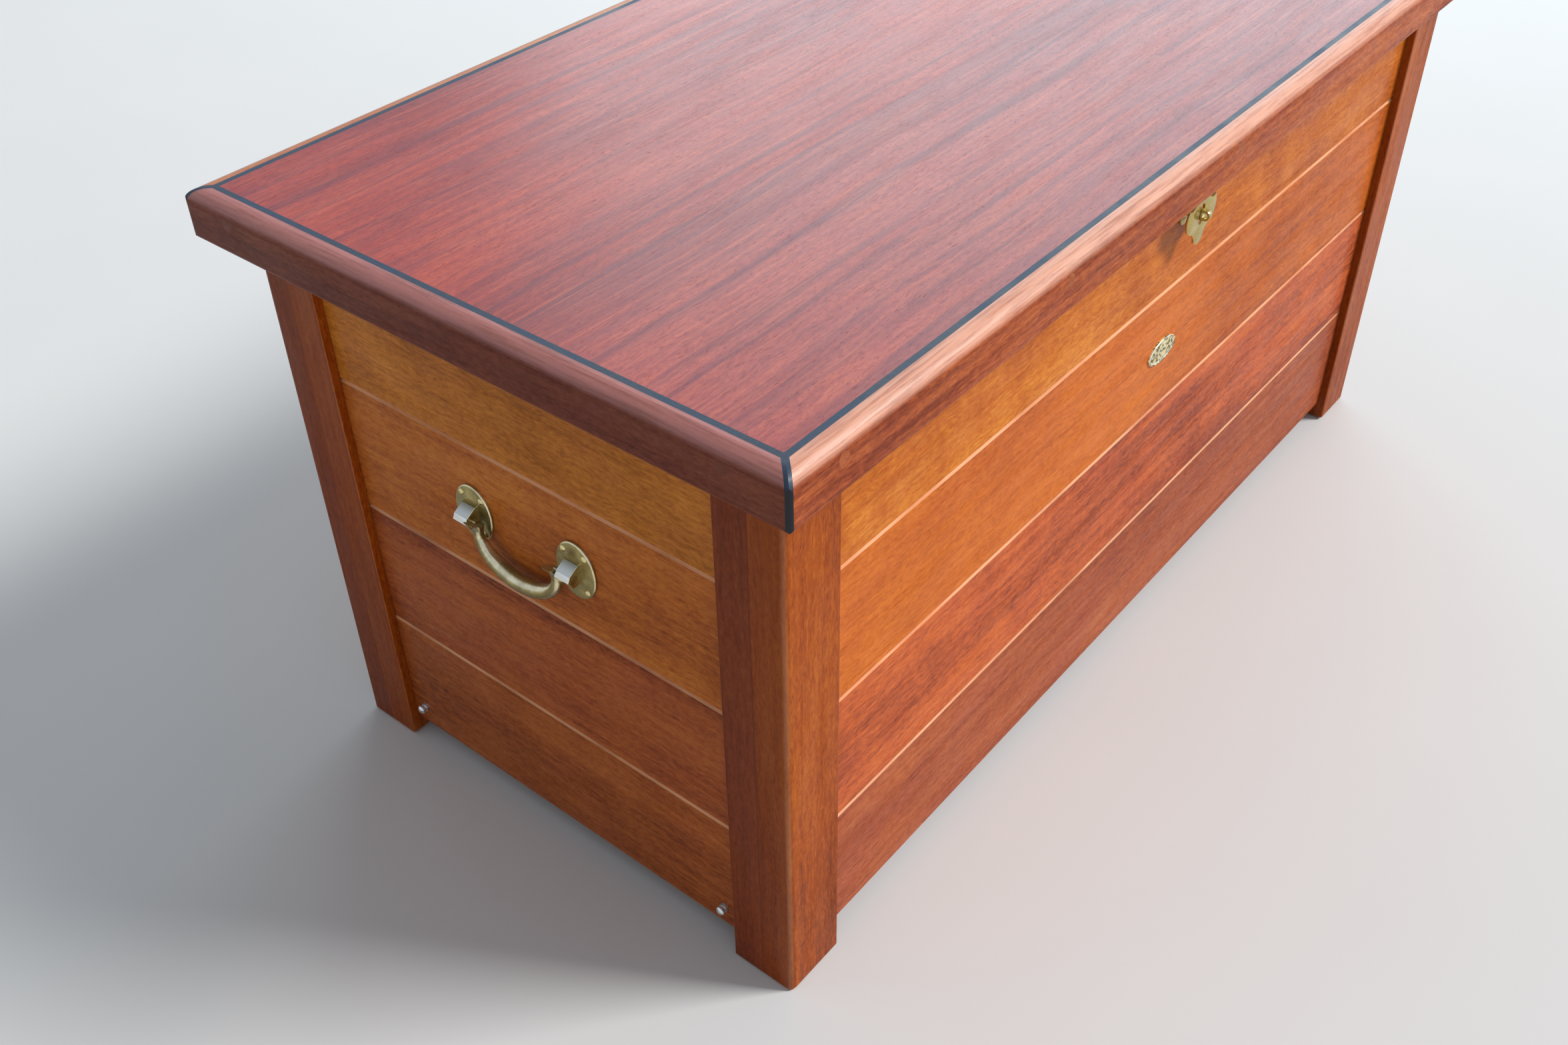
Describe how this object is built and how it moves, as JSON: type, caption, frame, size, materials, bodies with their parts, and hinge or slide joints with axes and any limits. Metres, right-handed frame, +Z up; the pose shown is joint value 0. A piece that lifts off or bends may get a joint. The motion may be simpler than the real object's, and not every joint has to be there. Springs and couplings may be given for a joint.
{
  "type": "outdoor storage box",
  "caption": "Varnished hardwood storage box: corner posts, tongued boards, an overhanging hinged lid on stays, a front hasp for a padlock and drop handles on the ends.",
  "frame": {"origin": "on the ground, under the middle of the box", "axes": "+X along the box to the right, -Y towards the front with the hasp, +Z up"},
  "size_m": [1.312, 0.676, 0.647],
  "materials": {
    "post_wood": "gloss varnish, red-brown",
    "golden_board": "gloss varnish, golden",
    "red_board": "gloss varnish, red-brown",
    "lid_panel_wood": "gloss varnish, deep red",
    "inner_wood": "oiled",
    "plug_wood": "gloss varnish",
    "caulk": "satin black sealant",
    "brass": "aged, brushed",
    "stainless": "polished"
  },
  "bodies": {
    "box": {"board_back_1": "red_board", "board_back_2": "red_board", "board_back_3": "golden_board", "board_back_4": "golden_board", "board_front_1": "red_board", "board_front_2": "red_board", "board_front_3": "golden_board", "board_front_4": "golden_board", "board_left_1": "red_board", "board_left_2": "red_board", "board_left_3": "golden_board", "board_left_4": "golden_board", "board_right_1": "red_board", "board_right_2": "red_board", "board_right_3": "golden_board", "board_right_4": "golden_board", "cover_studs": "stainless", "floor_bearer_1": "inner_wood", "floor_bearer_2": "inner_wood", "floor_bearer_3": "inner_wood", "floor_board_1": "inner_wood", "floor_board_2": "inner_wood", "floor_board_3": "inner_wood", "floor_board_4": "inner_wood", "handle_nails": "brass", "handle_plate_left_back": "brass", "handle_plate_left_front": "brass", "handle_plate_right_back": "brass", "handle_plate_right_front": "brass", "hinge_box_leaf": "brass", "hinge_box_screws": "brass", "hinge_pin": "brass", "hinge_rail": "inner_wood", "oval_plate": "brass", "post_back_left": "post_wood", "post_back_right": "post_wood", "post_front_left": "post_wood", "post_front_right": "post_wood", "staple": "brass", "staple_screws": "brass", "stay_studs": "stainless"},
    "lid": {"hasp_leaf": "brass", "hasp_pin": "brass", "hinge_lid_leaf": "brass", "lid_batten_left": "inner_wood", "lid_batten_right": "inner_wood", "lid_caulk": "caulk", "lid_frame_back": "post_wood", "lid_frame_front": "post_wood", "lid_frame_left": "post_wood", "lid_frame_right": "post_wood", "lid_panel": "lid_panel_wood", "lid_plugs": "plug_wood", "lid_screws": "brass", "stay_brackets": "stainless"},
    "hasp": {"hasp_plate": "brass"},
    "bail_left": {"handle_bail_left": "brass"},
    "bail_right": {"handle_bail_right": "brass"},
    "stay_left": {"stay_arm_left": "stainless"},
    "stay_right": {"stay_arm_right": "stainless"}
  },
  "joints": [
    {"name": "lid_open", "type": "hinge", "parent": "box", "child": "lid", "pos_m": [0, 0.3063, 0.5957], "axis": [-1, 0, 0], "range_deg": [0, 95]},
    {"name": "stay_left_swing", "type": "hinge", "parent": "lid", "child": "stay_left", "pos_m": [-0.582, 0.05651, 0.6023], "axis": [1, 0, 0], "range_deg": [0, 47.5]},
    {"name": "stay_right_swing", "type": "hinge", "parent": "lid", "child": "stay_right", "pos_m": [0.582, 0.05651, 0.6023], "axis": [1, 0, 0], "range_deg": [0, 47.5]},
    {"name": "hasp_swing", "type": "hinge", "parent": "lid", "child": "hasp", "pos_m": [0, -0.31, 0.5962], "axis": [-1, 0, 0], "range_deg": [0, 85]},
    {"name": "left_bail_swing", "type": "hinge", "parent": "box", "child": "bail_left", "pos_m": [-0.622, 0, 0.394], "axis": [0, 1, 0], "range_deg": [0, 90]},
    {"name": "right_bail_swing", "type": "hinge", "parent": "box", "child": "bail_right", "pos_m": [0.622, 0, 0.394], "axis": [0, -1, 0], "range_deg": [0, 90]}
  ],
  "couplings": [
    {"joint": "stay_left_swing", "follows": "lid_open", "ratio": 0.5},
    {"joint": "stay_right_swing", "follows": "lid_open", "ratio": 0.5}
  ]
}
